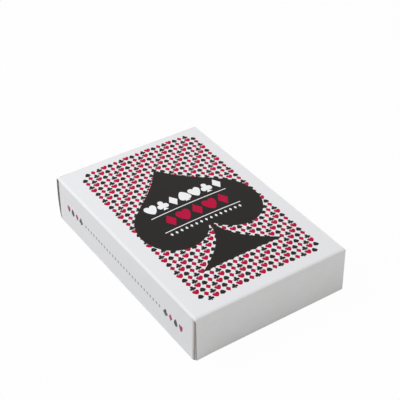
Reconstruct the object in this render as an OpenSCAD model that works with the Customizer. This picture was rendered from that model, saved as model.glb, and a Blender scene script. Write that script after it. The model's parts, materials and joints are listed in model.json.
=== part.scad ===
// A deck of playing cards in a folded tuck carton, lying on the carton's back panel.
// X runs across the carton, Y along it towards the lid, and Z up through the printed front panel.
// The origin is the middle of the back panel's outer face. Lengths are millimetres.

/* [Cards] */
// Width of a card
card_w = 58; // [50:0.5:70]
// Length of a card
card_l = 88; // [70:0.5:120]
// Thickness of a card
card_t = 0.27; // [0.2:0.01:0.35]
// Radius of a card's corners
card_r = 3.4; // [1.5:0.1:6]
// Air between neighbouring cards
card_air = 0.01; // [0.005:0.005:0.03]

/* [Board] */
// Thickness of the carton board
board_t = 0.38; // [0.3:0.02:0.5]
// Inside radius of a fold in the board
fold_in_r = 0.08; // [0.04:0.01:0.2]
// Clearance between the round edge of a hinged flap and the panel that carries it
fold_gap = 0.08; // [0.04:0.01:0.15]
// Clearance between boards that slide over each other
slip = 0.1; // [0.06:0.02:0.2]
// How far glued boards press into each other
glue_bite = 0.02; // [0.01:0.005:0.04]

/* [Carton] */
// Room between the cards and each side panel
side_play = 0.92; // [0.8:0.02:2]
// Room above the cards, under the front panel
head_play = 1.55; // [1.2:0.05:3]
// Room between the cards and the closed end
floor_play = 0.2; // [0.1:0.05:1]
// Room between the cards and the dust flaps
lid_play = 1; // [0.9:0.05:2]
// How far the end panels stay in from the carton's sides
end_inset = 0.25; // [0.1:0.05:0.6]
// Height of the glue flap inside the right side panel
glue_flap_h = 13; // [8:0.5:15]
// How far each end of the glue flap slants in
glue_flap_slant = 4; // [1:0.5:8]
// Height of the side panel's raw edge above the seam's lower face
seam_edge = 0.12; // [0.05:0.01:0.3]

/* [Opening end] */
// Depth of the tongue from its fold
tongue_depth = 14; // [10:0.5:20]
// Radius of the tongue's corners
tongue_r = 7; // [3:0.5:8]
// How much narrower than the lid the tongue is at each end
tongue_inset = 1.2; // [0.5:0.1:3]
// Radius of the half-round thumb notch in the back panel
notch_r = 9; // [6:0.5:12]
// Angle of a dust flap's slanting edge, steep enough to clear the lid as both swing
dust_slant = 36; // [35:0.5:40]
// Radius of a dust flap's tip
dust_tip_r = 3; // [2:0.25:4]
// Room between the lid's fold and a dust flap, beside the front panel
dust_head = 1.2; // [1:0.1:2]

/* [Closed end] */
// Height of the inner closing flap
inner_flap_h = 12; // [6:0.5:14]
// Length of the dust flaps that are glued into the closed end
glued_dust_l = 14; // [8:0.5:20]
// How far the free edges of the glued flaps slant in
glued_slant = 2; // [0.5:0.25:3]
// Height of the outer panel's raw edge above the back panel's outer face
outer_edge = 0.3; // [0.1:0.05:0.5]

/* [Hidden] */
$fn = 64;
SUITS = ["spades", "hearts", "clubs", "diamonds"];
RANKS = ["ace", "two", "three", "four", "five", "six", "seven", "eight", "nine", "ten", "jack", "queen", "king"];
// From the bottom of the stack to the top, faces down
CARDS = concat(
    [for (suit = SUITS, rank = RANKS) str(rank, "_of_", suit)],
    ["black_joker", "red_joker"]
);

board_colour = "#f0f0f4";
card_colour = "#fbfaf7";

// Outside radius of a fold, and of the round edge that a flap turns on
fold_r = board_t + fold_in_r;
card_pitch = card_t + card_air;
deck_h = len(CARDS) * card_pitch - card_air;

// Outside size of the carton, built up from what lies inside it
carton_w = card_w + 2 * (side_play + board_t);
carton_t = board_t + slip + board_t + slip + deck_h + head_play + board_t;
carton_l = 3 * board_t + floor_play + card_l + lid_play + board_t + slip + board_t;
half_w = carton_w / 2;
closed_y = -carton_l / 2;
open_y = carton_l / 2;

// Where the folds' centres lie
fold_x = half_w - fold_r;
front_fold_z = carton_t - fold_r;
seam_fold_x = fold_x - board_t;
outer_fold_y = closed_y + fold_r;
inner_fold_y = outer_fold_y + board_t;
glued_dust_fold_y = inner_fold_y + board_t;

// Axes of the hinged flaps
lid_y = open_y - fold_r;
lid_z = front_fold_z;
tongue_z0 = board_t + slip;
tongue_z = tongue_z0 + fold_r;
dust_face_y = open_y - board_t - slip;
dust_y = dust_face_y - fold_r;

// Where the panels stop at the opening
front_end_y = lid_y - fold_r - fold_gap;
side_end_y = dust_y - fold_r - fold_gap;

// Widths of the flaps, and how the lid, the tongue and the dust flaps stand over each other
end_w = carton_w - 2 * end_inset;
tongue_w = end_w - 2 * tongue_inset;
lid_end_z = tongue_z + fold_r + fold_gap;
dust_z0 = tongue_z + fold_r + slip;
dust_z1 = lid_z - dust_head;

// Straight board beside a flap's round edge, before its outline begins
hem = 2 * fold_r;

deck_y = closed_y + 3 * board_t + floor_play + card_l / 2;
deck_z = tongue_z0 + board_t + slip;

// Larger than any cut needs to be
over = 1;

// A flat shape in Y and Z, run along X and centred on it
module along_x(length) {
    rotate([90, 0, 90]) linear_extrude(length, center = true) children();
}

// A flat shape in X and Z, run along Y from one place to another
module along_y(from, to) {
    translate([0, to, 0]) rotate([90, 0, 0]) linear_extrude(to - from) children();
}

// A flat shape in X and Y, run up Z from one height to another
module along_z(from, to) {
    translate([0, 0, from]) linear_extrude(to - from) children();
}

// Section of the board where it turns a right angle, in the first quadrant
module bend() {
    intersection() {
        difference() {
            circle(fold_r);
            circle(fold_in_r);
        }
        square(2 * fold_r);
    }
}

// Section of a hinged flap: the round edge it turns on, and board that runs down from it
module hinged_section(run) {
    circle(fold_r);
    translate([fold_in_r, -run]) square([board_t, run]);
}

module rounded_rectangle(w, l, r) {
    square([w - 2 * r, l], center = true);
    square([w, l - 2 * r], center = true);
    for (x = [-1, 1], y = [-1, 1]) {
        translate([x * (w / 2 - r), y * (l / 2 - r)]) circle(r);
    }
}

// Front panel with the fold along each side of it
module front_section() {
    translate([-fold_x, carton_t - board_t]) square([2 * fold_x, board_t]);
    for (side = [0, 1]) {
        mirror([side, 0]) translate([fold_x, front_fold_z]) bend();
    }
}

// Left side panel with the fold into the back panel
module left_section() {
    translate([-half_w, fold_r]) square([board_t, front_fold_z - fold_r]);
    mirror([1, 0]) translate([fold_x, fold_r]) mirror([0, 1]) bend();
}

// Right side panel, glued over the flap that stands up from the back panel
module right_section() {
    translate([half_w - board_t, seam_edge]) square([board_t, front_fold_z - seam_edge]);
    translate([seam_fold_x, fold_r]) mirror([0, 1]) bend();
    translate([half_w - 2 * board_t, fold_r]) square([board_t + glue_bite, 2 * hem]);
}

// The part of the glue flap above its fold, with slanting ends
module glue_flap() {
    foot_z = fold_r + hem;
    translate([half_w - 1.5 * board_t + glue_bite / 2, 0, 0]) along_x(board_t + glue_bite) polygon([
        [glued_dust_fold_y, foot_z],
        [side_end_y, foot_z],
        [side_end_y - glue_flap_slant, glue_flap_h],
        [glued_dust_fold_y + glue_flap_slant, glue_flap_h]
    ]);
}

module back_panel() {
    difference() {
        translate([-fold_x, inner_fold_y, 0]) cube([fold_x + seam_fold_x, open_y - inner_fold_y, board_t]);
        translate([0, open_y, -over]) cylinder(h = board_t + 2 * over, r = notch_r);
    }
}

module carton_sleeve() {
    color(board_colour) {
        along_y(outer_fold_y, front_end_y) front_section();
        along_y(glued_dust_fold_y, side_end_y) left_section();
        along_y(glued_dust_fold_y, side_end_y) right_section();
        glue_flap();
        back_panel();
    }
}

// Outer panel, folded down from the front panel
module outer_end_panel() {
    along_x(end_w) {
        translate([outer_fold_y, front_fold_z]) mirror([1, 0]) bend();
        translate([closed_y, outer_edge]) square([board_t, front_fold_z - outer_edge]);
    }
}

// Inner flap, folded up from the back panel behind the outer panel
module inner_end_flap() {
    flap_w = 2 * seam_fold_x;
    along_x(flap_w) {
        translate([inner_fold_y, fold_r]) rotate(180) bend();
        translate([closed_y + board_t, fold_r]) square([board_t, hem]);
    }
    along_y(closed_y + board_t - glue_bite, closed_y + 2 * board_t) polygon([
        [-flap_w / 2, fold_r],
        [flap_w / 2, fold_r],
        [flap_w / 2 - glued_slant, inner_flap_h],
        [-flap_w / 2 + glued_slant, inner_flap_h]
    ]);
}

// Dust flap folded in from the right side panel at the closed end
module glued_dust_flap() {
    low = fold_r + slip;
    high = front_fold_z - slip;
    along_z(low, high) {
        translate([fold_x, glued_dust_fold_y]) mirror([0, 1]) bend();
        translate([fold_x - hem, closed_y + 2 * board_t]) square([hem, board_t]);
    }
    along_y(closed_y + 2 * board_t - glue_bite, closed_y + 3 * board_t) polygon([
        [fold_x, low],
        [fold_x, high],
        [fold_x - glued_dust_l, high - glued_slant],
        [fold_x - glued_dust_l, low + glued_slant]
    ]);
}

module bottom_closure() {
    color(board_colour) {
        outer_end_panel();
        inner_end_flap();
        for (side = [0, 1]) {
            mirror([side, 0, 0]) glued_dust_flap();
        }
    }
}

module top_lid() {
    color(board_colour) translate([0, lid_y, lid_z]) along_x(end_w) hinged_section(lid_z - lid_end_z);
}

module tongue_corner() {
    intersection() {
        circle(tongue_r);
        mirror([0, 1]) square(2 * tongue_r);
    }
}

module tuck_tongue() {
    color(board_colour) {
        translate([0, lid_y, tongue_z]) along_x(tongue_w) rotate(-90) hinged_section(hem);
        along_z(tongue_z0, tongue_z0 + board_t) translate([0, lid_y]) {
            translate([-tongue_w / 2, tongue_r - tongue_depth]) square([tongue_w, tongue_depth - tongue_r - hem]);
            translate([tongue_r - tongue_w / 2, -tongue_depth]) square([tongue_w - 2 * tongue_r, tongue_r]);
            for (side = [0, 1]) {
                mirror([side, 0]) translate([tongue_w / 2 - tongue_r, tongue_r - tongue_depth]) tongue_corner();
            }
        }
    }
}

// Outline of a dust flap beyond its hem: a slanting edge beside the lid's fold runs round the tip
// into a straight edge beside the tongue
module dust_outline() {
    rise = dust_z1 - dust_z0;
    tip_x = ((rise - dust_tip_r) * cos(dust_slant) - dust_tip_r) / sin(dust_slant);
    translate([0, dust_z0]) {
        polygon([
            [hem, 0],
            [tip_x, 0],
            [tip_x + dust_tip_r * sin(dust_slant), dust_tip_r * (1 + cos(dust_slant))],
            [hem, rise - hem * tan(dust_slant)]
        ]);
        translate([tip_x, dust_tip_r]) circle(dust_tip_r);
    }
}

module dust_flap_left() {
    color(board_colour) translate([-fold_x, 0, 0]) {
        along_z(dust_z0, dust_z1 - hem * tan(dust_slant)) translate([0, dust_y]) rotate(90) hinged_section(hem);
        along_y(dust_face_y - board_t, dust_face_y) dust_outline();
    }
}

module dust_flap_right() {
    mirror([1, 0, 0]) dust_flap_left();
}

module card(place) {
    height = deck_z + place * card_pitch;
    color(card_colour) along_z(height, height + card_t) {
        translate([0, deck_y]) rounded_rectangle(card_w, card_l, card_r);
    }
}

carton_sleeve();
bottom_closure();
top_lid();
tuck_tongue();
dust_flap_left();
dust_flap_right();
for (place = [0 : len(CARDS) - 1]) {
    card(place);
}
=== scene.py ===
"""Looks of a deck of playing cards in its folded tuck carton.

Lengths are millimetres in the part's own frame, X across the carton, Y along it towards the lid and Z up
through the printed front panel, until a mesh is made of them in metres.
"""
import json
import math
import random

import bmesh
import bpy
import numpy as np
from mathutils import Matrix, Vector


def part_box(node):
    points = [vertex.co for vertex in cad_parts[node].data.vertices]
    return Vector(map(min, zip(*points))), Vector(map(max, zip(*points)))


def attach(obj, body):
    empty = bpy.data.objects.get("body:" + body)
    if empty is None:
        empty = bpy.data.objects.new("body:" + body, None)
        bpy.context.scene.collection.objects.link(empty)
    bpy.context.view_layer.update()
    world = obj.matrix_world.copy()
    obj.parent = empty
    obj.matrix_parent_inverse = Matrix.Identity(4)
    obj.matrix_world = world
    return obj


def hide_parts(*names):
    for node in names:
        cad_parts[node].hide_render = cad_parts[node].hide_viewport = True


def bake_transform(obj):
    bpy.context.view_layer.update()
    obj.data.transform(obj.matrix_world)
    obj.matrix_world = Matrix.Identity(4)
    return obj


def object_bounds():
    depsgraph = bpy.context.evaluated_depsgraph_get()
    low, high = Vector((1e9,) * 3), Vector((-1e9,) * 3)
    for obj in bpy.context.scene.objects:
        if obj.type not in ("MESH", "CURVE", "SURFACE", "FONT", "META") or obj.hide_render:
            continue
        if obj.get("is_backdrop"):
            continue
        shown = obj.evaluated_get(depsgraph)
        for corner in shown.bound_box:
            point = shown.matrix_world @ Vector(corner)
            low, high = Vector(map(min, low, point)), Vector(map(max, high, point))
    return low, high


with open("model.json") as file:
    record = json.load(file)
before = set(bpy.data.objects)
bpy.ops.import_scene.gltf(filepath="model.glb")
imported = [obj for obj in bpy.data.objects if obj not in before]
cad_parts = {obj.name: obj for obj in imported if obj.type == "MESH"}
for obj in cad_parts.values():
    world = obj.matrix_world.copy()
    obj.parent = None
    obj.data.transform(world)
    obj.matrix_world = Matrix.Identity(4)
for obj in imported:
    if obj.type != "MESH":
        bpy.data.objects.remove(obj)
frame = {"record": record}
CAD_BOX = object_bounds()

MM = 0.001

# Carton, outside
HALF_W, HALF_L, THICK = 30.3, 45.6, 18.0
BOARD = 0.38
FOLD, SHOULDER = 0.5, 1.0       # how far a soft fold reaches down from the front panel, and in over it
BACK_FOLD = 0.38                # outside radius of the tighter folds along the back panel
DUST_FOLD = 1.0                 # and of the loose ones of the dust flaps
FOLD_STEPS = 8
FLAT_X = HALF_W - SHOULDER      # where the front panel's side folds begin
BACK_FLAT_X = HALF_W - BACK_FOLD
FLAT_Z = THICK - FOLD
PANEL_END = HALF_L - SHOULDER   # where the front panel hands over to the lid, and to the closed end
SIDE_CLOSED, SIDE_OPEN = -43.9, 44.12       # ends of the side panels
BACK_CLOSED, BACK_OPEN = -44.52, 45.3       # and of the back panel
FRONT_CROWN, SIDE_CROWN, END_CROWN = 0.16, 0.1, 0.06    # how far the panels bulge

# The left side panel leans out at the back, less so towards the lid, and sticks out of the closed end there
LEAN, LEAN_MIDDLE, LEAN_TAPER, LEAN_TOP = 0.42, 0.8, 0.2, 16.0
LEAN_X, LEAN_W = 24.0, 6.3      # where the board that leans with it begins, and how wide that is
LEAN_OUT, LEAN_OUT_Y, LEAN_OUT_L = 0.2, 36.0, 9.0

# Flaps of the opening end
LID_HALF_W = 30.24
LID_LIFT = 0.3                  # how far the closed lid stands off the dust flaps
LID_EAR = 0.45                  # and how far its left corner sticks out further
EAR_X, EAR_W, EAR_FADE = 22.0, 8.3, 2.5     # where that begins, its width, and how it fades at its ends
LID_CREST = 0.45                # how far the front panel rises to the lid's fold
CREST_X, CREST_W, CREST_Y, CREST_Z = -12.0, 42.0, 32.0, 15.0    # its middle, half width, and where it begins
LID_TAB, TAB_SLOPE = 0.45, 0.3  # how far the lid's corners reach down beside the fold of the tongue
TONGUE_FOLD = 0.3
TONGUE_HALF_W, TONGUE_R, TONGUE_TIP_Y, TONGUE_Z = 28.85, 7.0, 31.14, 0.48
NOTCH_R, NOTCH_MARGIN = 9.0, 0.4
DUST_FACE_Y, DUST_AXIS_X = 45.12, 29.84
DUST_LOW, DUST_HIGH, DUST_SLANT, DUST_TIP_R, DUST_TIP_L = 1.5, 16.34, math.radians(36), 3.0, 3.4

# Flaps of the closed end
OUTER_EDGE_Z, OUTER_LEFT, OUTER_RIGHT = 0.04, 29.78, 30.2
OUTER_RISE = 0.22               # how much higher the outer panel's lower edge is, apart from its left corner
RISE_X, RISE_W, RISE_H = -29.0, 3.0, 1.1
WIDEN_H = 1.2                   # height below the fold over which the end panels take their own width
INNER_FLAP_H, INNER_HALF_W, INNER_TAPER = 16.5, 29.78, 0.16
FLAP_GAP = 0.06                 # between the layers
GLUED_DUST_L, GLUED_SLANT, GLUED_ROUND = 14.0, 2.0, 1.2
GLUED_LOW, GLUED_STEP, GLUED_HIGH = 0.12, 0.58, 17.3

# Seam inside the right side panel
SEAM_EDGE_Z, GLUE_FLAP_H, GLUE_FLAP_SLANT, GLUE_FLAP_FOOT = 0.12, 13.0, 4.0, 1.4
SEAM_X = HALF_W - BOARD

# Cards
CARD_HALF_W, CARD_HALF_L, CARD_R = 29.0, 44.0, 3.4
DECK_Y = -0.26
ASKEW_X, ASKEW_LOW_Y, ASKEW_HIGH_Y, ASKEW_TURN = 0.16, 0.06, 0.28, 0.0025


# Camera, at the viewing angle of the photograph

AZIMUTH, ELEVATION, ROLL = math.radians(-33.24), math.radians(37.15), math.radians(-0.92)
DISTANCE, TARGET = 415.7, Vector((18.35, 24.53, 0))
LENS = 98.0


def make_camera():
    """The camera, which looks at its target with a slight roll."""
    back = Vector((
        math.sin(AZIMUTH) * math.cos(ELEVATION),
        -math.cos(AZIMUTH) * math.cos(ELEVATION),
        math.sin(ELEVATION),
    ))
    level = Vector((0, 0, 1)).cross(back).normalized()
    upright = back.cross(level)
    right = level * math.cos(ROLL) + upright * math.sin(ROLL)
    up = upright * math.cos(ROLL) - level * math.sin(ROLL)
    data = bpy.data.cameras.new("camera")
    data.lens, data.sensor_width = LENS, 36
    data.clip_start, data.clip_end = 0.01, 20
    camera = bpy.data.objects.new("camera", data)
    bpy.context.scene.collection.objects.link(camera)
    turn = Matrix((right, up, back)).transposed().to_4x4()
    camera.matrix_world = Matrix.Translation((TARGET + back * DISTANCE) * MM) @ turn
    bpy.context.scene.camera = camera


make_camera()


# Shader maths

class Wire:
    """One output of a finish's nodes. Expressions on wires add Math nodes; & and | join masks."""

    def __init__(self, finish, socket):
        self.finish = finish
        self.socket = socket

    def other(self, output):
        """Another output of the same node."""
        return Wire(self.finish, self.socket.node.outputs[output])

    def math(self, operation, *values):
        return self.finish.node("ShaderNodeMath", {"operation": operation}, dict(enumerate(values)))

    def __add__(self, value):
        return self.math("ADD", self, value)

    def __radd__(self, value):
        return self.math("ADD", value, self)

    def __sub__(self, value):
        return self.math("SUBTRACT", self, value)

    def __rsub__(self, value):
        return self.math("SUBTRACT", value, self)

    def __mul__(self, value):
        return self.math("MULTIPLY", self, value)

    def __rmul__(self, value):
        return self.math("MULTIPLY", value, self)

    def __truediv__(self, value):
        return self.math("DIVIDE", self, value)

    def __pow__(self, value):
        return self.math("POWER", self, value)

    def __abs__(self):
        return self.math("ABSOLUTE", self)

    def __round__(self):
        return self.math("ROUND", self)

    def __mod__(self, value):
        return self.math("FLOORED_MODULO", self, value)

    def __lt__(self, value):
        return self.math("LESS_THAN", self, value)

    def __gt__(self, value):
        return self.math("GREATER_THAN", self, value)

    def __and__(self, value):
        return self.math("MINIMUM", self, value)

    def __or__(self, value):
        return self.math("MAXIMUM", self, value)


class Finish:
    """A node tree, and the one way its nodes are made."""

    def __init__(self, tree):
        self.tree = tree
        tree.nodes.clear()

    def node(self, kind, settings=None, sockets=None, output=0):
        made = self.tree.nodes.new(kind)
        for name, value in (settings or {}).items():
            setattr(made, name, value)
        for name, value in (sockets or {}).items():
            if isinstance(value, Wire):
                self.tree.links.new(value.socket, made.inputs[name])
            else:
                made.inputs[name].default_value = value
        return Wire(self, made.outputs[output]) if len(made.outputs) else made

    def places(self):
        """X, Y and Z on the surface in millimetres, and the point they belong to."""
        point = self.node("ShaderNodeTexCoord", output="Object")
        point = self.node("ShaderNodeVectorMath", {"operation": "SCALE"}, {0: point, "Scale": 1 / MM})
        x = self.node("ShaderNodeSeparateXYZ", sockets={0: point})
        return x, x.other(1), x.other(2), point

    def facing(self):
        """X and Z of the direction that the surface faces."""
        normal = self.node("ShaderNodeNewGeometry", output="Normal")
        x = self.node("ShaderNodeSeparateXYZ", sockets={0: normal})
        return x, x.other(2)

    def seen(self):
        """1 for what the camera sees, straight or by a reflection, and 0 for light that falls on things."""
        ray = self.node("ShaderNodeLightPath", output="Is Camera Ray")
        return ray | ray.other("Is Glossy Ray") | ray.other("Is Transmission Ray")

    def speckle(self, point, scale, detail=3.0, stretch=(1, 1, 1)):
        """Noise from 0 to 1, with scale grains to the millimetre."""
        point = self.node("ShaderNodeVectorMath", {"operation": "MULTIPLY"}, {0: point, 1: stretch})
        return self.node("ShaderNodeTexNoise", sockets={"Vector": point, "Scale": scale, "Detail": detail})

    def blend(self, share, colour, over):
        return self.node("ShaderNodeMix", {"data_type": "RGBA"}, {0: share, 6: colour, 7: over}, output=2)

    def shade(self, colour, amount):
        """A colour made lighter or darker: amount is 1 where it stays."""
        if not isinstance(colour, Wire):
            colour = colour[:3]
        return self.node("ShaderNodeVectorMath", {"operation": "SCALE"}, {0: colour, "Scale": amount})

    def bump(self, height, distance, strength=1.0):
        sockets = {"Strength": strength, "Distance": distance, "Height": height}
        return self.node("ShaderNodeBump", sockets=sockets)

    def output(self, shader, kind="ShaderNodeOutputMaterial"):
        self.node(kind, sockets={"Surface": shader})


def new_finish(name):
    material = bpy.data.materials.new(name)
    material.use_nodes = True
    return material, Finish(material.node_tree)


def srgb(red, green, blue):
    """A colour as it is read off a screen, 0 to 255, as the light values that shaders take."""
    def light(v):
        v /= 255
        return v / 12.92 if v <= 0.04045 else ((v + 0.055) / 1.055) ** 2.4
    return light(red), light(green), light(blue), 1.0


WHITE_BOARD = srgb(238, 238, 240)
CHARCOAL = srgb(34, 31, 29)
CRIMSON = srgb(188, 0, 61)
INK_BLACK = srgb(18, 16, 18)
FACE_RED = srgb(190, 16, 34)
PRINT_WHITE = srgb(247, 247, 248)
PALE_GREY = srgb(160, 158, 160)
RAW_EDGE = srgb(176, 166, 160)
GREY_BACK = srgb(158, 152, 146)


# Suit signs. Each is about two high, centred, point or stem along v; a is the distance from its middle line.

def heart(a, v):
    lobes = (a - 0.48) * (a - 0.48) + (v - 0.33) * (v - 0.33) < 0.27
    point = (a ** 1.45 + (((0.33 - v) | 0) * 0.78) ** 1.45 < 1) & (v < 0.33)
    return lobes | point


def stem(a, v):
    return (a < (v + 0.15) * (v + 0.15) * 0.5 + 0.09) & (v > -1.0) & (v < -0.1)


def spade(a, v):
    return heart(a, 0.07 - v) | stem(a, v)


def club(a, v):
    top = a * a + (v - 0.48) * (v - 0.48) < 0.19
    sides = (a - 0.5) * (a - 0.5) + (v + 0.2) * (v + 0.2) < 0.19
    return top | sides | stem(a, v) | ((a < 0.2) & (abs(v) < 0.25))


def diamond(a, v):
    return a * 1.35 + abs(v) < 1.0


def is_kind(kind, number):
    """Mask of the places whose kind is a number."""
    return abs(kind - number) < 0.5


# Print of the front panel

FIELD_X, FIELD_Y = 1.05, 0.74              # middle of the field of pips
PITCH_X, PITCH_Y = 2.364, 2.384
FIELD_COLUMNS, FIELD_ROWS = 10, 17         # on each side of the middle
PIP = 1.06                                 # half the height of a pip
# How much narrower and lower each kind of pip is drawn, under 1 where it is wider and taller, and how far
# down it sits
SPADE_FIT, CLUB_FIT = (1.02, 1.02, 0.09), (0.865, 0.865, 0.1)
HEART_FIT, DIAMOND_FIT = (0.86, 0.88, -0.11), (0.81, 0.84, 0.0)
SPADE_X, SPADE_TIP_Y = 1.0, 29.2
PRINT_X, PRINT_Y = 0.006, 0.258            # the print sits a little askew on the crowned panel: how far it is
STRETCH_X, STRETCH_Y = 1.0054, 1.0062      # moved, stretched, skewed, bowed and twisted
SKEW_X, SKEW_Y = 0.0069, 0.0113
BOW_X, BOW_Y = 0.00052, 0.00122
TWIST_X, TWIST_Y = 0.00029, 0.00027
LOBE_X, LOBE_T, LOBE_W, LOBE_UP, LOBE_DOWN = 11.6, 31.0, 12.5, 14.9, 14.1
SHOULDER_T, STEM_T, BASE_T = 17.6, 33.0, 57.7
TIP_SLOPE, TIP_CURVE, CORE_LAP = 0.61, 0.022, 4.0
STEM_HALF_W, FOOT_T, FOOT_POWER, FOOT_FLARE = 0.6, 36.0, 2.3, 0.0136
# Rows on the large spade: shift to the right, distance from its tip, half height, pitch, signs on each side
WHITE_ROW = 0.8, 19.75, 2.8, 4.65, 3
RED_ROW = 0.6, 28.75, 3.25, 5.5, 2
BEAD_ROW = 0.0, 35.4, 0.8, 2.05, 7
ROW_NARROW = 1.2                           # how much narrower the rows' signs are drawn
RULES_T, RULE_HALF_T, RULE_HALF_W = (24.2, 33.4), 0.185, 15.8


def printed_place(x, y):
    """Place in the print of a place on the front panel."""
    print_x = x * STRETCH_X - y * SKEW_X - PRINT_X + x * x * BOW_X - x * y * TWIST_X
    print_y = y * STRETCH_Y - x * SKEW_Y - PRINT_Y + x * x * BOW_Y - x * y * TWIST_Y
    return print_x, print_y


def fitted(sign, fit, a, v):
    """Mask of a suit sign in the proportions of the field's pips."""
    narrower, lower, down = fit
    return sign(a * narrower, (v + down) * lower)


def pip_field(x, y):
    """Masks of the black and the red pips of the field."""
    x, y = x - FIELD_X, y - FIELD_Y
    column, row = round(x / PITCH_X), round(y / PITCH_Y)
    a, v = abs(x - column * PITCH_X) / PIP, (y - row * PITCH_Y) / PIP
    inside = (
        (abs(column) < FIELD_COLUMNS + 0.5)
        & (abs(row) < FIELD_ROWS + 0.5)
        & (abs(column) + abs(row) < FIELD_COLUMNS + FIELD_ROWS - 0.5)
    )
    kind = (column - row + 3) % 4
    black = (
        (is_kind(kind, 1) & fitted(spade, SPADE_FIT, a, v))
        | (is_kind(kind, 3) & fitted(club, CLUB_FIT, a, v))
    )
    red = (
        (is_kind(kind, 0) & fitted(heart, HEART_FIT, a, v))
        | (is_kind(kind, 2) & fitted(diamond, DIAMOND_FIT, a, v))
    )
    return black & inside, red & inside


def great_spade(a, t):
    """Mask of the large spade: a is the distance from its middle line, t the distance down from its tip."""
    across, along = (a - LOBE_X) / LOBE_W, ((LOBE_T - t) / LOBE_UP) | ((t - LOBE_T) / LOBE_DOWN)
    lobes = across * across + along * along < 1
    tip = (a < t * (t * TIP_CURVE + TIP_SLOPE)) & (t < SHOULDER_T)
    core = (a < LOBE_X) & (t > SHOULDER_T - CORE_LAP) & (t < STEM_T)
    foot = (a < ((t - FOOT_T) | 0) ** FOOT_POWER * FOOT_FLARE + STEM_HALF_W) & (t > STEM_T) & (t < BASE_T)
    return lobes | tip | core | foot


def sign_row(x, t, row):
    """A row of narrow signs on the large spade: number, distance from a sign's middle, height, ends."""
    shift, middle, half_height, pitch, each_side = row
    x = x - shift
    number = round(x / pitch)
    a = abs(x - number * pitch) / half_height * ROW_NARROW
    v = (middle - t) / half_height
    return number, a, v, abs(number) < each_side + 0.5


def spade_rows(x, t):
    """Masks of the white and the red print on the large spade."""
    number, a, v, inside = sign_row(x, t, WHITE_ROW)
    kind = number % 4
    white = (
        (is_kind(kind, 0) & spade(a, v))
        | (is_kind(kind, 1) & heart(a, v))
        | (is_kind(kind, 2) & club(a, v))
        | (is_kind(kind, 3) & diamond(a, v))
    ) & inside
    number, a, v, inside = sign_row(x, t, RED_ROW)
    kind = number % 2
    red = ((is_kind(kind, 0) & diamond(a, v)) | (is_kind(kind, 1) & heart(a, v))) & inside
    number, a, v, inside = sign_row(x, t, BEAD_ROW)
    white = white | (diamond(a, v) & inside)
    for rule_t in RULES_T:
        white = white | ((abs(t - rule_t) < RULE_HALF_T) & (abs(x) < RULE_HALF_W))
    return white, red


# Print of the side panels

SIDE_PRINT_Y, SIDE_PRINT_Z, SIDE_TILT = -0.12, 8.66, 0.0109
SIDE_PIP, SIDE_PITCH, SIDE_FIRST, SIDE_KINDS = 1.4, 3.05, 28.35, 4
SIDE_NARROW, SIDE_LOWER = 1.3, 0.92        # its spades and hearts are narrower, all its signs a little taller
BEAD, BEAD_PITCH, BEADS = 0.75, 1.9, 13    # small diamonds, on each side of the middle
SIDE_BLACK, SIDE_RED = srgb(88, 86, 86), srgb(182, 74, 108)


def side_print(y, z):
    """Masks of the black, the red and the grey print of a side panel."""
    y, z = y - SIDE_PRINT_Y, z - SIDE_PRINT_Z - y * SIDE_TILT
    reach = abs(y)
    number = round((reach - SIDE_FIRST) / SIDE_PITCH)
    inside = (number > -0.5) & (number < SIDE_KINDS - 0.5)
    a = abs(reach - SIDE_FIRST - number * SIDE_PITCH) / SIDE_PIP
    narrow, high = a * SIDE_NARROW, z / SIDE_PIP * SIDE_LOWER
    black = ((is_kind(number, 0) & club(a, high)) | (is_kind(number, 2) & spade(narrow, high))) & inside
    red = ((is_kind(number, 1) & diamond(a, high)) | (is_kind(number, 3) & heart(narrow, high))) & inside
    bead = round(y / BEAD_PITCH)
    grey = diamond(abs(y - bead * BEAD_PITCH) / BEAD, z / BEAD) & (abs(bead) < BEADS + 0.5)
    return black, red, grey


# Finishes

def coated_board(f, point, colour, ink=None):
    """Coated board: fine mottling and a faint grain, smoother where it is printed."""
    mottle = f.speckle(point, 0.35) * 0.03 + f.speckle(point, 4.0) * 0.03 + 0.97
    grain = f.speckle(point, 2.2, 4.0, (1, 0.35, 1))
    rough = grain * 0.08 + 0.46
    if ink is not None:
        rough = rough - ink * 0.05
    return f.node("ShaderNodeBsdfPrincipled", sockets={
        "Base Color": f.shade(colour, mottle),
        "Roughness": rough,
        "Specular IOR Level": 0.1,
        "Normal": f.bump(grain, 0.004 * MM, 0.6),
    })


def painted_fold_highlight(f, x, z, point):
    """White board, with a painted highlight: paler in the long folds beside the front panel."""
    fold = (abs(x) > FLAT_X - 0.1) & (z > FLAT_Z - 0.1)
    # painted highlight: the folds are drawn in a paler white than the flat board
    return f.blend(fold * (f.speckle(point, 0.5) * 0.5 + 0.1), WHITE_BOARD, srgb(251, 251, 252))


def printed_board():
    """White board with the print of the front panel and of the side panels."""
    material, f = new_finish("printed_board")
    x, y, z, point = f.places()
    facing_x, facing_z = f.facing()
    on_front = (facing_z > 0.7) & (z > THICK - 2)
    on_side = (abs(facing_x) > 0.7) & (abs(x) > HALF_W - 1)
    print_x, print_y = printed_place(x, y)
    across, down = print_x - SPADE_X, SPADE_TIP_Y - print_y
    black, red = pip_field(print_x, print_y)
    spade_mask = great_spade(abs(across), down)
    white, spade_red = spade_rows(across, down)
    side_black, side_red, side_grey = side_print(y, z)
    colour = f.blend(black & on_front, painted_fold_highlight(f, x, z, point), CHARCOAL)
    colour = f.blend(red & on_front, colour, CRIMSON)
    colour = f.blend(spade_mask & on_front, colour, CHARCOAL)
    colour = f.blend(white & on_front, colour, PRINT_WHITE)
    colour = f.blend(spade_red & on_front, colour, CRIMSON)
    colour = f.blend(side_grey & on_side, colour, PALE_GREY)
    colour = f.blend(side_black & on_side, colour, SIDE_BLACK)
    colour = f.blend(side_red & on_side, colour, SIDE_RED)
    ink = (black | red | spade_mask) & on_front
    f.output(coated_board(f, point, colour, ink))
    return material


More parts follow.
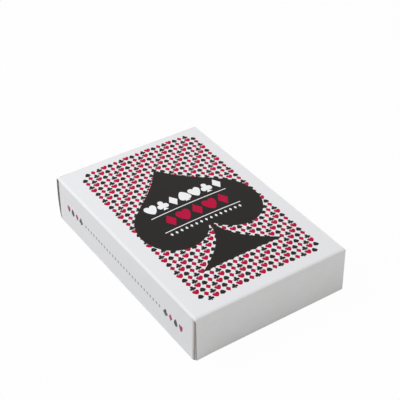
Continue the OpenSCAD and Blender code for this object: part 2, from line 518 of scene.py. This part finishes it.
LOW_SHADE, LOW_SHADE_Z = 0.08, 14.5        # painted shade: how much darker the closed end is at its lower edge, from where
# where the closed end's upright folds are drawn grey-brown: cracked coating, and painted shade in the recess
# beside the outer panel
FOLD_MARK_X, FOLD_MARK_LOW_Y, FOLD_MARK_HIGH_Y, FOLD_MARK_Z = 29.4, -45.15, -44.55, 16.8
# where the left end of the lid's fold is drawn grey-brown, and how strongly
LID_MARK, LID_MARK_X, LID_MARK_W, LID_MARK_Y = 1.6, -27.4, 2.4, 45.0


def plain_board(name, grey_brown_places=None, low_shade=0.0):
    """White board without print. The places that it is given are drawn in the cut edge's grey-brown.

    Low_shade is how much darker it is drawn towards its lower edge, a painted shade."""
    material, f = new_finish(name)
    x, y, z, point = f.places()
    colour = f.blend(f.speckle(point, 0.2) * 0.8, painted_fold_highlight(f, x, z, point), srgb(230, 229, 228))
    if low_shade:
        # painted shade: the colour is darkened towards the lower edge
        colour = f.shade(colour, 1 - ((1 - z / LOW_SHADE_Z) | 0) * low_shade)
    # grey-brown places: at the closed end's folds cracked coating and painted shade in the recess, on the
    # lid's fold a darker mark
    if grey_brown_places is not None:
        mark_speckle = f.speckle(point, 1.6, 4.0, (1, 1, 0.4))
        colour = f.blend(grey_brown_places(x, y, z) * (mark_speckle * 0.8 + 0.2), colour, RAW_EDGE)
    f.output(coated_board(f, point, colour))
    return material


def cracked_and_shaded_folds(x, y, z):
    """The upright folds at both sides of the closed end, where they turn in beside the outer panel: cracked
    coating, and painted shade in that recess.
    """
    return (y < FOLD_MARK_HIGH_Y) & (y > FOLD_MARK_LOW_Y) & (abs(x) > FOLD_MARK_X) & (z < FOLD_MARK_Z)


def darker_lid_fold_end(x, y, z):
    """The left end of the lid's fold, drawn grey-brown and fading out along it."""
    off = (x - LID_MARK_X) / LID_MARK_W
    return ((1 - off * off) | 0) * LID_MARK & (y > LID_MARK_Y) & (z > FLAT_Z - 0.1)


def uncoated_board(name, colour, dark, stretch):
    """Bare fibre of the board, on its inside or at a cut edge."""
    material, f = new_finish(name)
    point = f.places()[3]
    fibre = f.speckle(point, 3.0, 5.0, stretch)
    f.output(f.node("ShaderNodeBsdfPrincipled", sockets={
        "Base Color": f.blend(fibre, dark, colour),
        "Roughness": fibre * 0.15 + 0.75,
        "Specular IOR Level": 0.2,
        "Normal": f.bump(fibre, 0.01 * MM, 0.7),
    }))
    return material


PRINTED = printed_board()
PLAIN = plain_board("plain_board")
LID_BOARD = plain_board("lid_board", darker_lid_fold_end)
CLOSED_END_BOARD = plain_board("closed_end_board", cracked_and_shaded_folds, LOW_SHADE)
INSIDE = uncoated_board("board_inside", GREY_BACK, srgb(134, 128, 122), (1, 0.3, 1))
CUT_EDGE = uncoated_board("cut_edge", RAW_EDGE, srgb(140, 130, 124), (0.5, 0.5, 3))


# Board pieces

FIRST_STEP, SECOND_STEP = 0.3, 1.1         # distances from the ends of a straight run
PANEL_RUN = np.linspace(-40, 33, 16)       # places along the panels between their ends


def stations(start, end, step):
    """Places along a straight run, some of them close to its ends so that folds beside it stay narrow."""
    way = 1 if end > start else -1
    near, far = start + way * SECOND_STEP, end - way * SECOND_STEP
    count = max(1, round(abs(far - near) / step))
    return [start, start + way * FIRST_STEP, *np.linspace(near, far, count + 1), end - way * FIRST_STEP, end]


def arc(across, up, radius, start, end, rise=None, steps=FOLD_STEPS):
    """Points of an arc in a plane, from one angle to another in degrees, both ends included."""
    rise = rise or radius
    return [
        (across + radius * math.cos(a), up + rise * math.sin(a))
        for a in np.radians(np.linspace(start, end, steps + 1))
    ]


def swell(t):
    """1 in the middle of a panel and 0 at its edges, where t is -1 and 1."""
    return 0.5 + 0.5 * math.cos(math.pi * min(1.0, abs(t)))


def sheet_parts(points, flip):
    """Vertices, faces and finish numbers of a sheet of board behind a grid of points on its outer face."""
    rows, columns = points.shape[:2]
    along = np.gradient(points, axis=0)
    across = np.gradient(points, axis=1)
    normal = np.cross(across, along)
    normal *= (-1 if flip else 1) / np.linalg.norm(normal, axis=2, keepdims=True)
    vertices = np.concatenate([points.reshape(-1, 3), (points - normal * BOARD).reshape(-1, 3)])
    back = rows * columns
    number = np.arange(back).reshape(rows, columns)
    a, b, c, d = number[:-1, :-1], number[1:, :-1], number[1:, 1:], number[:-1, 1:]
    outer = np.stack([a, b, c, d], -1).reshape(-1, 4)
    rim = np.concatenate([number[0, :-1], number[:-1, -1], number[-1, :0:-1], number[:0:-1, 0]])
    edge = np.stack([rim, np.roll(rim, -1), np.roll(rim, -1) + back, rim + back], -1)
    faces = np.concatenate([outer, outer + back, edge])
    finish = np.concatenate([np.zeros(len(outer), int), np.ones(len(outer), int), np.full(len(edge), 2)])
    return vertices, faces, finish


def board_piece(name, outside, sheets):
    """A piece of folded board: sheets are grids of points, each with whether it is turned over."""
    vertices, faces, finishes = [], [], []
    start = 0
    for points, flip in sheets:
        v, f, m = sheet_parts(np.asarray(points, float), flip)
        vertices.append(v)
        faces.append(f + start)
        finishes.append(m)
        start += len(v)
    mesh = bpy.data.meshes.new(name)
    mesh.from_pydata((np.concatenate(vertices) * MM).tolist(), [], np.concatenate(faces).tolist())
    mesh.polygons.foreach_set("material_index", np.concatenate(finishes))
    return finished(name, mesh, (outside, INSIDE, CUT_EDGE))


def finished(name, mesh, materials):
    """A piece made of a mesh, smooth apart from its sharp edges."""
    shaped = bmesh.new()
    shaped.from_mesh(mesh)
    bmesh.ops.recalc_face_normals(shaped, faces=shaped.faces)
    shaped.to_mesh(mesh)
    shaped.free()
    for material in materials:
        mesh.materials.append(material)
    mesh.polygons.foreach_set("use_smooth", np.ones(len(mesh.polygons), bool))
    mesh.set_sharp_from_angle(angle=math.radians(40))
    piece = bpy.data.objects.new(name, mesh)
    bpy.context.scene.collection.objects.link(piece)
    return piece


def crest(x, y, z):
    """How far the board stands up at the lid's fold, most of all left of the middle."""
    along = max(0.0, (min(y, PANEL_END) - CREST_Y) / (PANEL_END - CREST_Y))
    up = max(0.0, (z - CREST_Z) / (THICK - CREST_Z))
    return LID_CREST * swell((x - CREST_X) / CREST_W) * along ** 2 * up


def warped(x, y, z):
    """A point of the folded board, moved to where the left side panel leans out and the front panel rises."""
    near = max(0.0, (-x - LEAN_X) / LEAN_W) * max(0.0, 1 - z / LEAN_TOP)
    x_out = LEAN * near * (LEAN_MIDDLE - LEAN_TAPER * y / HALF_L)
    y_out = LEAN_OUT * near * max(0.0, (-y - LEAN_OUT_Y) / LEAN_OUT_L)
    return x - x_out, y - y_out, z + crest(x, y, z)


def notch_depth(x):
    """How deep the thumb notch cuts into the back panel at X."""
    return math.sqrt(max(0.0, NOTCH_R ** 2 - x * x))


def sleeve_line(x, z, low, high, push_x=0.0, push_z=0.0):
    """Points of the sleeve along Y at one place of its section, pushed out by the crown of its panel."""
    places = [low, low + FIRST_STEP, low + SECOND_STEP, *PANEL_RUN]
    places += [(places[-1] + high - SECOND_STEP) / 2, high - SECOND_STEP, high - FIRST_STEP, high]
    return [warped(x + push_x * swell(y / PANEL_END), y, z + push_z * swell(y / PANEL_END)) for y in places]


def mixed(start, end, share):
    """A value part of the way from one to another."""
    return start + (end - start) * share


def sleeve():
    """The tube of front, back and side panels, in one sheet from the seam's raw edge to the glue flap's."""
    lines = []
    front = (-PANEL_END, PANEL_END)
    side = (SIDE_CLOSED, SIDE_OPEN)
    back = (BACK_CLOSED, BACK_OPEN)
    middle = THICK / 2

    def side_line(x, z):
        crown = SIDE_CROWN * swell((z - middle) / (middle - FOLD))
        lines.append(sleeve_line(x, z, *side, push_x=math.copysign(crown, x)))

    def fold(points, before, after):
        for k, (x, z) in enumerate(points[1:-1], 1):
            share = k / (len(points) - 1)
            ends = [mixed(a, b, share) for a, b in zip(before, after)]
            lines.append(sleeve_line(x, z, *ends))

    for z in stations(SEAM_EDGE_Z, FLAT_Z, 3.5):
        side_line(HALF_W, z)
    fold(arc(FLAT_X, FLAT_Z, SHOULDER, 0, 90, FOLD), side, front)
    for x in stations(FLAT_X, -FLAT_X, 4):
        lines.append(sleeve_line(x, THICK, *front, push_z=FRONT_CROWN * swell(x / FLAT_X)))
    fold(arc(-FLAT_X, FLAT_Z, SHOULDER, 90, 180, FOLD), front, side)
    for z in stations(FLAT_Z, BACK_FOLD, 3.5):
        side_line(-HALF_W, z)
    fold(arc(-BACK_FLAT_X, BACK_FOLD, BACK_FOLD, 180, 270), side, back)
    round_notch = [NOTCH_R * math.sin(a) for a in np.radians(np.linspace(-90, 90, 31))]
    seam_flat = SEAM_X - BACK_FOLD
    left_of_notch = stations(-BACK_FLAT_X, -NOTCH_R - NOTCH_MARGIN, 4)
    right_of_notch = stations(NOTCH_R + NOTCH_MARGIN, seam_flat, 4)
    for x in [*left_of_notch, *round_notch, *right_of_notch]:
        lines.append(sleeve_line(x, 0, back[0], back[1] - notch_depth(x)))
    fold(arc(seam_flat, BACK_FOLD, BACK_FOLD, 270, 360), back, side)
    for z in (BACK_FOLD, GLUE_FLAP_FOOT, 5, 9, GLUE_FLAP_H):
        slant = GLUE_FLAP_SLANT * max(0.0, (z - GLUE_FLAP_FOOT) / (GLUE_FLAP_H - GLUE_FLAP_FOOT))
        lines.append(sleeve_line(SEAM_X, z, side[0] + slant, side[1] - slant))
    return board_piece("folded_sleeve", PRINTED, [(lines, False)])


def past_flat(x):
    """How much of the fold along the front panel's side lies inside X, from 0 to 1."""
    return min(1.0, max(0.0, abs(x) - FLAT_X) / SHOULDER)


def corner_drop(x):
    """How far the front panel has curved down at X, in the folds along its sides."""
    return FOLD * (1 - math.sqrt(1 - past_flat(x) ** 2))


def panel_columns():
    """Places across the front panel and its side folds, the sleeve's own, so that the end panels meet it."""
    fold = [FLAT_X + SHOULDER * math.sin(a) for a in np.radians(np.linspace(0, 90, FOLD_STEPS + 1)[1:])]
    return np.array([*(-x for x in reversed(fold)), *stations(-FLAT_X, FLAT_X, 4), *fold])


def end_panel_lines(way, low_z, side_end, left_w, right_w, lift, ear, rise):
    """The lid or the closed end's outer panel: rows from the front panel, round the fold, down to low_z."""
    path = arc(PANEL_END, FLAT_Z, SHOULDER, 90, 0, FOLD)
    path += [(HALF_L, z) for z in stations(FLAT_Z, low_z, 3)[1:]]
    columns = panel_columns() / HALF_W
    lines = []
    for row, (y, z) in enumerate(path):
        tuck = max(0.0, min(1.0, (z - FLAT_Z) / FOLD))
        widen = max(0.0, min(1.0, (z - FLAT_Z + WIDEN_H) / WIDEN_H))
        tab = LID_TAB if way > 0 and z == low_z else 0.0
        line = []
        for column in columns:
            edge = left_w if column < 0 else right_w
            x = column * mixed(edge, HALF_W, widen)
            out = (lift + END_CROWN * swell(x / edge)) * swell((z - THICK / 2) / (THICK / 2))
            stick_out = min(1.0, (z - low_z) / EAR_FADE, (THICK - z) / EAR_FADE)
            out += ear * (max(0.0, -x - EAR_X) / EAR_W) ** 2 * stick_out
            if row == 0:
                out = (side_end - PANEL_END) * math.asin(past_flat(x)) * 2 / math.pi
            beside = min(1.0, max(0.0, abs(x) - TONGUE_HALF_W) / TAB_SLOPE)
            raised = rise * min(1.0, max(0.0, (x - RISE_X) / RISE_W)) * max(0.0, 1 - z / RISE_H)
            y_here, z_here = way * (y + out), z - corner_drop(x) * tuck - tab * beside + raised
            line.append((x, y_here, z_here + crest(x, y_here, z_here)))
        lines.append(line)
    return lines


def lid():
    """The lid, from the front panel round its fold to the fold of the tongue."""
    low_z = TONGUE_Z + TONGUE_FOLD
    lines = end_panel_lines(1, low_z, SIDE_OPEN, LID_HALF_W, LID_HALF_W, LID_LIFT, LID_EAR, 0.0)
    return board_piece("hinged_lid", LID_BOARD, [(lines, False)])


def tongue():
    """The tongue, from the fold at the lid's free edge to its rounded tip inside the back panel."""
    turn = HALF_L - TONGUE_FOLD
    path = list(arc(turn, TONGUE_Z + TONGUE_FOLD, TONGUE_FOLD, 0, -90))
    straight = TONGUE_TIP_Y + TONGUE_R
    path += [(y, TONGUE_Z) for y in stations(turn, straight, 2.5)[1:]]
    path += [(straight - TONGUE_R * math.sin(a), TONGUE_Z) for a in np.radians(np.linspace(0, 90, 13)[1:])]
    lines = []
    for y, z in path:
        past = max(0.0, straight - y)
        half = TONGUE_HALF_W - TONGUE_R + math.sqrt(max(0.0, TONGUE_R ** 2 - past ** 2))
        lines.append([(x, y, z) for x in half * np.linspace(-1, 1, 25)])
    return board_piece("tucked_tongue", PLAIN, [(lines, False)])


def dust_reach(d):
    """Lower and upper edge of a dust flap at a distance from its hinge line."""
    tip = ((DUST_HIGH - DUST_LOW - DUST_TIP_R) * math.cos(DUST_SLANT) - DUST_TIP_R) / math.sin(DUST_SLANT)
    middle = DUST_LOW + DUST_TIP_R
    bow = math.sqrt(max(0.0, DUST_TIP_R ** 2 - (d - tip) ** 2))
    low = middle - bow if d > tip else DUST_LOW
    high = DUST_HIGH - max(0, d) * math.tan(DUST_SLANT)
    if d > tip + DUST_TIP_R * math.sin(DUST_SLANT):
        high = middle + bow
    return low, high, tip + DUST_TIP_R


def dust_flap(name, way):
    """A dust flap, from the side panel's end round its fold to its slanting tip."""
    path = arc(-HALF_W + DUST_FOLD, DUST_FACE_Y - DUST_FOLD, DUST_FOLD, 180, 90)
    end = dust_reach(0)[2]
    tip = [end - DUST_TIP_L * (1 - math.sin(a)) for a in np.radians(np.linspace(0, 84, 12))]
    path += [(d - DUST_AXIS_X, DUST_FACE_Y) for d in [1.2, 3, 5, 7, 9, *tip]]
    lines = []
    for x, y in path:
        low, high = dust_reach(x + DUST_AXIS_X)[:2]
        lines.append([warped(-way * x, y, z) for z in np.linspace(low, high, 9)])
    return board_piece(name, PLAIN, [(lines, way > 0)])


def closed_end():
    """The closed end: the outer panel, and behind it the inner flap and two glued dust flaps."""
    outer = end_panel_lines(-1, OUTER_EDGE_Z, -SIDE_CLOSED, OUTER_LEFT, OUTER_RIGHT, 0.0, 0.0, OUTER_RISE)
    sheets = [(outer, True)]
    inner_y = -HALF_L + BOARD + FLAP_GAP
    turn = inner_y + BACK_FOLD
    path = [(BACK_CLOSED, 0.0), *arc(turn, BACK_FOLD, BACK_FOLD, 270, 180)]
    path += [(inner_y, z) for z in (1.6, 5, 9, INNER_FLAP_H)]
    lines = []
    for y, z in path:
        half = INNER_HALF_W - INNER_TAPER * z / INNER_FLAP_H
        lines.append([warped(x, y, z) for x in half * np.linspace(-1, 1, 13)])
    sheets.append((lines, False))
    dust_y = inner_y + BOARD + FLAP_GAP
    radius = SIDE_CLOSED - dust_y
    for way in (-1, 1):
        path = arc(-HALF_W + radius, SIDE_CLOSED, radius, 180, 270)
        path += [(x - HALF_W, dust_y) for x in (GLUED_ROUND, 4, 8, GLUED_DUST_L)]
        lines = []
        for x, y in path:
            slant = GLUED_SLANT * max(0.0, (x + HALF_W - GLUED_ROUND) / (GLUED_DUST_L - GLUED_ROUND))
            low = GLUED_LOW + GLUED_STEP * min(1.0, (x + HALF_W) / GLUED_ROUND)
            lines.append([warped(-way * x, y, z) for z in np.linspace(low + slant, GLUED_HIGH - slant, 7)])
        sheets.append((lines, way < 0))
    return board_piece("closed_end", CLOSED_END_BOARD, sheets)


# Cards

DECK = frame["record"]["behaviour"]["bodies"]["deck"]
FIRST_CARD_Z, LAST_CARD_Z = (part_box(node)[0].z / MM for node in (DECK[0], DECK[-1]))
CARD_PITCH = (LAST_CARD_Z - FIRST_CARD_Z) / (len(DECK) - 1)
RANKS = 13
COLUMN_X, TOP_ROW_Y = 12.5, 29.5           # where the signs of a face stand, from the card's middle
INDEX_X, INDEX_Y, INDEX = 24.6, 38.0, 2.3  # the small sign in each corner
SIGN, GREAT_SIGN = 5.2, 10.5               # half heights of the signs
COURT_X, COURT_Y, COURT_STEP, COURT_LINE = 19.5, 33.5, 1.3, 0.35
# On a back: how far in from the edge its frame line begins and ends, and where the lattice begins
BORDER, FRAME_LINE, PANEL = 3.6, 4.3, 5.0
LATTICE, LATTICE_LINE, LATTICE_DOT = 3.0, 0.13, 0.02


def card_face(x, y, z):
    """Masks of the black and the red signs on the face of the card that lies at height z."""
    number = round((z - FIRST_CARD_Z) / CARD_PITCH)
    suit = round((number - RANKS // 2) / RANKS)
    joker = suit > 3.5
    rank = (number - suit * RANKS) * (1 - joker) + 1
    court = rank > 10.5
    across, along = abs(x), abs(y)
    outer = (across > COLUMN_X / 2) & (rank > 3.5) & (1 - court)
    corner = (across > INDEX_X - 3) & (along > INDEX_Y - 4)
    # The outer columns have signs at the top row, and some ranks have more at a third of it or in the middle
    third = (rank > 8.5) & (along < TOP_ROW_Y * 2 / 3)
    centre = (rank > 5.5) & (rank < 8.5) & (along < TOP_ROW_Y / 2)
    outer_row = TOP_ROW_Y - third * TOP_ROW_Y * 2 / 3 - centre * TOP_ROW_Y
    # The middle column
    top = is_kind(rank, 2) | (is_kind(rank, 3) & (along > TOP_ROW_Y / 2))
    half = is_kind(rank, 7) | is_kind(rank, 8)
    middle_row = top * TOP_ROW_Y + half * TOP_ROW_Y / 2 + is_kind(rank, 10) * TOP_ROW_Y * 2 / 3
    row = outer * outer_row + (1 - outer) * middle_row
    row = row * (1 - corner) + corner * INDEX_Y
    column = outer * (1 - corner) * COLUMN_X + corner * INDEX_X
    bare = is_kind(rank, 4) | is_kind(rank, 6) | (is_kind(rank, 7) & (y < 0))
    shown = corner | outer | (1 - bare)
    # Signs in the lower half stand on their heads
    folded = row > 0.1
    size = SIGN + (is_kind(rank, 1) | court) * (GREAT_SIGN - SIGN) * (1 - corner) + corner * (INDEX - SIGN)
    a = abs(across - column) / size
    v = (folded * along + (1 - folded) * y - row) / size
    lozenge = diamond(a, v)
    black = (is_kind(suit, 0) & spade(a, v)) | (is_kind(suit, 2) & club(a, v))
    red = (is_kind(suit, 1) & heart(a, v)) | (is_kind(suit, 3) & lozenge)
    star = joker & lozenge & (1 - diamond(a * 1.7, v * 1.7))
    # Court cards have one, two or three frame lines
    inward = (COURT_X - across) & (COURT_Y - along)
    lines = court & (inward > 0) & (inward % COURT_STEP < COURT_LINE) & (inward < (rank - 10) * COURT_STEP)
    is_red = is_kind(suit, 1) | is_kind(suit, 3) | (number > len(DECK) - 1.5)
    black = ((black | star) & shown) | lines
    return black & (1 - is_red), ((red | star) & shown | lines) & is_red


def card_finish():
    """Cards: a lattice back with a white border, a face with its own signs, and layered edges."""
    material, f = new_finish("card_stock")
    x, y, z, point = f.places()
    facing = f.facing()[1]
    y = y - DECK_Y
    inward = (CARD_HALF_W - abs(x)) & (CARD_HALF_L - abs(y))
    frame_line = (inward > BORDER) & (inward < FRAME_LINE)
    panel = inward > PANEL
    rise, fall = (x + y) / LATTICE, (x - y) / LATTICE
    rise, fall = abs(rise - round(rise)), abs(fall - round(fall))
    dots = (rise - 0.5) * (rise - 0.5) + (fall - 0.5) * (fall - 0.5) < LATTICE_DOT
    lattice = (rise < LATTICE_LINE) | (fall < LATTICE_LINE) | dots
    stock = f.shade(srgb(246, 244, 240), f.speckle(point, 3.0) * 0.04 + 0.97)
    back = f.blend(frame_line | (panel & (1 - lattice)), stock, srgb(178, 26, 44))
    black, red = card_face(x, y, z)
    face = f.blend(red, f.blend(black, stock, INK_BLACK), FACE_RED)
    layer = f.speckle(point, 2.5, 3.0, (0.3, 0.3, 9))
    side = f.blend(layer, srgb(214, 210, 202), srgb(244, 242, 238))
    colour = f.blend(facing > 0.5, f.blend(facing < -0.5, side, face), back)
    linen = f.speckle(point, 6.0, 2.0)
    f.output(f.node("ShaderNodeBsdfPrincipled", sockets={
        "Base Color": colour,
        "Roughness": linen * 0.1 + 0.3,
        "Normal": f.bump(linen, 0.004 * MM, 0.5),
    }))
    return material


def card_piece(node, draw):
    """One card, a little askew in the stack."""
    low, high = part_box(node)
    shift_x, shift_y = draw.uniform(-ASKEW_X, ASKEW_X), draw.uniform(ASKEW_LOW_Y, ASKEW_HIGH_Y)
    turn = draw.uniform(-ASKEW_TURN, ASKEW_TURN)
    outline = []
    for side, end, start in ((1, -1, -90), (1, 1, 0), (-1, 1, 90), (-1, -1, 180)):
        centre_x, centre_y = side * (CARD_HALF_W - CARD_R), end * (CARD_HALF_L - CARD_R)
        outline += arc(centre_x, centre_y, CARD_R, start, start + 90, steps=6)
    ring = np.array([
        (x - turn * y + shift_x, y + turn * x + shift_y + DECK_Y) for x, y in outline
    ]) * MM
    count = len(ring)
    vertices = [(x, y, z) for z in (low.z, high.z) for x, y in ring]
    faces = [tuple(range(count))[::-1], tuple(range(count, 2 * count))]
    faces += [(k, (k + 1) % count, (k + 1) % count + count, k + count) for k in range(count)]
    mesh = bpy.data.meshes.new(node + "_sheet")
    mesh.from_pydata(vertices, [], faces)
    return finished(node + "_sheet", mesh, (CARD,))


CARD = card_finish()


# Assembly

def place(piece, node):
    """Hides the solid that a piece is the look of."""
    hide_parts(node)


made = sleeve()
place(made, "carton_sleeve")
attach(made, "carton")
made = closed_end()
place(made, "bottom_closure")
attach(made, "carton")
made = lid()
place(made, "top_lid")
PANEL_END * MM
THICK * MM
HALF_L * MM
FLAT_Z * MM
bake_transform(made)
made = tongue()
place(made, "tuck_tongue")
HALF_L * MM
(TONGUE_Z + TONGUE_FOLD) * MM
(HALF_L - TONGUE_FOLD) * MM
TONGUE_Z * MM
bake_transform(made)
for name, node, body, way in (
    ("left_dust_flap", "dust_flap_left", "left_flap", -1),
    ("right_dust_flap", "dust_flap_right", "right_flap", 1),
):
    made = dust_flap(name, way)
    place(made, node)
    way * HALF_W * MM
    (DUST_FACE_Y - DUST_FOLD) * MM
    way * (HALF_W - DUST_FOLD) * MM
    DUST_FACE_Y * MM
    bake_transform(made)
askew = random.Random(7)
for node in DECK:
    made = card_piece(node, askew)
    place(made, node)
    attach(made, "deck")


# Floor, light and background

WORLD_LIGHT = 0.52
FLOOR_GLOW = 0.965              # share of the floor's own light where it is seen, over its shadow


def lit_world(strength):
    """A white background that lights things with a part of its strength."""
    world = bpy.data.worlds.new("studio")
    world.use_nodes = True
    bpy.context.scene.world = world
    f = Finish(world.node_tree)
    f.output(
        f.node("ShaderNodeBackground", sockets={
            "Color": (1, 1, 1, 1), "Strength": f.seen() * (1 - strength) + strength,
        }),
        "ShaderNodeOutputWorld",
    )


def studio_floor():
    """A white floor that keeps a faint shadow."""
    mesh = bpy.data.meshes.new("floor")
    size, below = 2.0, -0.00002
    corners = [(-size, -size, below), (size, -size, below), (size, size, below), (-size, size, below)]
    mesh.from_pydata(corners, [], [(0, 1, 2, 3)])
    floor = bpy.data.objects.new("floor", mesh)
    bpy.context.scene.collection.objects.link(floor)
    material, f = new_finish("white_floor")
    matt = f.node("ShaderNodeBsdfDiffuse", sockets={"Color": (0.76, 0.76, 0.75, 1)})
    glow = f.node("ShaderNodeEmission", sockets={"Color": (1, 1, 1, 1), "Strength": 1.0})
    f.output(f.node("ShaderNodeMixShader", sockets={0: f.seen() * FLOOR_GLOW, 1: matt, 2: glow}))
    mesh.materials.append(material)
    floor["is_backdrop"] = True


def soft_lamp(name, direction, distance, size, power, colour):
    """A round lamp that looks at the carton from a direction."""
    data = bpy.data.lights.new(name, "AREA")
    data.shape, data.size, data.energy, data.color = "DISK", size, power, colour
    lamp = bpy.data.objects.new(name, data)
    bpy.context.scene.collection.objects.link(lamp)
    towards = Vector(direction).normalized()
    lamp.location = towards * distance
    lamp.rotation_mode = "QUATERNION"
    lamp.rotation_quaternion = towards.to_track_quat("Z", "Y")


bpy.context.scene.view_settings.view_transform = "Standard"
lit_world(WORLD_LIGHT)
studio_floor()
soft_lamp("key", direction=(-0.42, 0.3, 0.85), distance=0.5, size=0.4, power=1.25, colour=(0.96, 0.97, 1.0))
soft_lamp("fill", direction=(0.5, -0.8, 0.35), distance=0.8, size=0.5, power=0.48, colour=(1.0, 0.98, 0.9))

{"cad": [list(c) for c in CAD_BOX], "visual": [list(c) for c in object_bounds()]}
